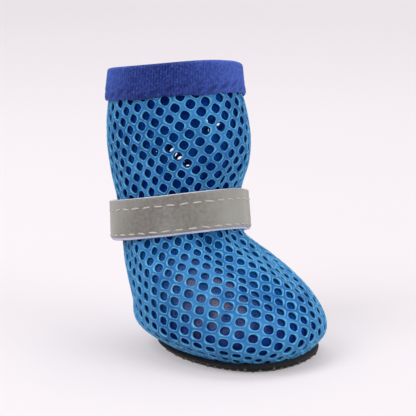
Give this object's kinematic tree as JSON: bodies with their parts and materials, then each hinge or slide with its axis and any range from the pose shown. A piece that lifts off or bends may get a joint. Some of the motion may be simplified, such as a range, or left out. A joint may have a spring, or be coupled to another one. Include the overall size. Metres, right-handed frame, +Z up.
{
  "type": "dog boot",
  "caption": "Small pull-on boot for a dog's paw: open-mesh fabric bag, egg-shaped dotted sole, ribbed collar binding and a reflective strap round the ankle.",
  "frame": {"origin": "centre of the sole's flat ground face", "axes": "+Z up, +X towards the toe, +Y towards the boot's left side"},
  "size_m": [0.0728, 0.0525, 0.0896],
  "materials": {
    "mesh_fabric": "open spacer mesh, azure blue",
    "sole_fabric": "black fabric with small grey rubber dots",
    "insole_fabric": "matt grey",
    "ribbed_tape": "ribbed royal blue tape",
    "reflective_tape": "satin grey reflective tape",
    "fastener": "black hook and loop"
  },
  "bodies": {
    "root": {"upper": "mesh_fabric", "sole": "sole_fabric", "insole": "insole_fabric", "collar_binding": "ribbed_tape", "strap": "reflective_tape", "hook_and_loop_pad": "fastener", "back_tape": "ribbed_tape"}
  },
  "joints": []
}
